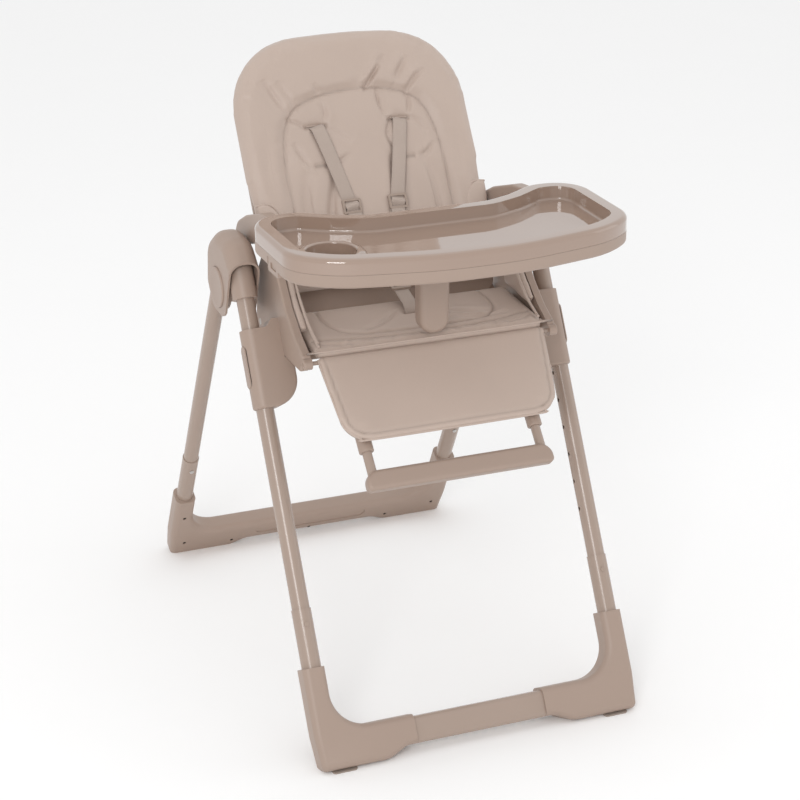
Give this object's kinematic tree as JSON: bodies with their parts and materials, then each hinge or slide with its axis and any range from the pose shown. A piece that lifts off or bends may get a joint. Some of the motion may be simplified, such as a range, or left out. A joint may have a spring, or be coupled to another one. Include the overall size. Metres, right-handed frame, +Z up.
{
  "type": "baby high chair",
  "caption": "Folding baby high chair with a padded reclining seat on height sliders, a calf rest with footrest, a harness and a removable tray with cup holder.",
  "frame": {"origin": "on the floor, at the centre of the overall box", "axes": "+Z up, the child faces -Y. Left and right in the names are as seen from the front, so left is -X"},
  "size_m": [0.6, 0.9181, 1.0559],
  "materials": {
    "hardware": "satin",
    "pad": "soft satin leatherette",
    "plastic": "satin",
    "rubber": "matt",
    "screw": "blackened",
    "steel": "plain",
    "tray": "polished",
    "tube": "satin paint",
    "webbing": "woven"
  },
  "bodies": {
    "front_frame": {"front_foot_left": "plastic", "front_foot_right": "plastic", "front_lower_leg_left": "tube", "front_lower_leg_right": "tube", "front_upper_leg_left": "tube", "front_upper_leg_right": "tube", "front_hinge_left": "plastic", "front_hinge_right": "plastic", "front_foot_bar": "tube", "front_foot_pads": "rubber", "front_snap_buttons": "steel"},
    "rear_frame": {"rear_foot": "plastic", "rear_foot_pads": "rubber", "rear_foot_screws": "screw", "rear_snap_buttons": "steel", "pivot_pins": "steel", "rear_lower_leg_left": "tube", "rear_lower_leg_right": "tube", "rear_upper_leg_left": "tube", "rear_upper_leg_right": "tube", "hinge_hood_left": "plastic", "hinge_hood_right": "plastic"},
    "fold_button_left_body": {"fold_button_left": "plastic"},
    "fold_button_right_body": {"fold_button_right": "plastic"},
    "seat_carriage": {"height_slider_left": "plastic", "height_slider_right": "plastic", "seat_side_left": "plastic", "seat_side_right": "plastic", "armrest_left": "plastic", "armrest_right": "plastic", "side_wing_pad_left": "pad", "side_wing_pad_right": "pad", "seat_pan": "plastic", "seat_cross_tube": "tube", "seat_cushion": "pad", "calf_hinge_rod": "steel", "recline_pins": "steel", "crotch_strap": "webbing", "crotch_adjuster": "hardware"},
    "height_trigger_left_body": {"height_trigger_left": "plastic"},
    "height_trigger_right_body": {"height_trigger_right": "plastic"},
    "backrest": {"backrest_shell": "plastic", "backrest_cushion": "pad", "recline_housing": "plastic", "shoulder_straps": "webbing", "lap_straps": "webbing", "strap_adjusters": "hardware", "buckle": "hardware"},
    "buckle_release": {"buckle_button": "hardware"},
    "recline_grip": {"recline_lever": "plastic"},
    "calf_rest": {"calf_board": "plastic", "calf_pad": "pad"},
    "footrest": {"footrest_tubes": "tube", "footrest_bar": "plastic"},
    "tray_lower": {"tray_base": "plastic", "crotch_post": "plastic"},
    "tray_latch_left_body": {"tray_latch_left": "plastic"},
    "tray_latch_right_body": {"tray_latch_right": "plastic"},
    "tray_top": {"tray_insert": "tray"}
  },
  "joints": [
    {"name": "fold", "type": "hinge", "parent": "front_frame", "child": "rear_frame", "pos_m": [0, 0.015, 0.692], "axis": [-1, 0, 0], "range_deg": [0, 50]},
    {"name": "fold_button_left", "type": "slide", "parent": "rear_frame", "child": "fold_button_left_body", "axis": [1, 0, 0], "range_m": [0, 0.004], "stiffness_N_per_m": 400},
    {"name": "fold_button_right", "type": "slide", "parent": "rear_frame", "child": "fold_button_right_body", "axis": [-1, 0, 0], "range_m": [0, 0.004], "stiffness_N_per_m": 400},
    {"name": "seat_height", "type": "slide", "parent": "front_frame", "child": "seat_carriage", "axis": [0, 0.4909, 0.8712], "range_m": [-0.24, 0]},
    {"name": "height_trigger_left", "type": "slide", "parent": "seat_carriage", "child": "height_trigger_left_body", "axis": [1, 0, 0], "range_m": [0, 0.0015], "stiffness_N_per_m": 400},
    {"name": "height_trigger_right", "type": "slide", "parent": "seat_carriage", "child": "height_trigger_right_body", "axis": [-1, 0, 0], "range_m": [0, 0.0015], "stiffness_N_per_m": 400},
    {"name": "recline", "type": "hinge", "parent": "seat_carriage", "child": "backrest", "pos_m": [0, 0.005, 0.624], "axis": [-1, 0, 0], "range_deg": [-10, 25], "deforming": ["crotch_strap"]},
    {"name": "buckle_button", "type": "slide", "parent": "backrest", "child": "buckle_release", "axis": [0, 0.8567, -0.5158], "range_m": [0, 0.003], "stiffness_N_per_m": 400},
    {"name": "recline_lever", "type": "slide", "parent": "backrest", "child": "recline_grip", "axis": [0, 0.5158, 0.8567], "range_m": [0, 0.01], "stiffness_N_per_m": 400},
    {"name": "calf_angle", "type": "hinge", "parent": "seat_carriage", "child": "calf_rest", "pos_m": [0, -0.21458, 0.62316], "axis": [-1, 0, 0], "range_deg": [-30, 45]},
    {"name": "footrest_length", "type": "slide", "parent": "calf_rest", "child": "footrest", "axis": [0, -0.6769, -0.7361], "range_m": [-0.03, 0.03]},
    {"name": "tray_reach", "type": "slide", "parent": "seat_carriage", "child": "tray_lower", "axis": [0, -1, 0], "range_m": [0, 0.06]},
    {"name": "tray_latch_left", "type": "slide", "parent": "tray_lower", "child": "tray_latch_left_body", "axis": [1, 0, 0], "range_m": [0, 0.003], "stiffness_N_per_m": 400},
    {"name": "tray_latch_right", "type": "slide", "parent": "tray_lower", "child": "tray_latch_right_body", "axis": [-1, 0, 0], "range_m": [0, 0.003], "stiffness_N_per_m": 400},
    {"name": "tray_lift", "type": "slide", "parent": "tray_lower", "child": "tray_top", "axis": [0, 0, 1], "range_m": [0, 0.12]}
  ]
}
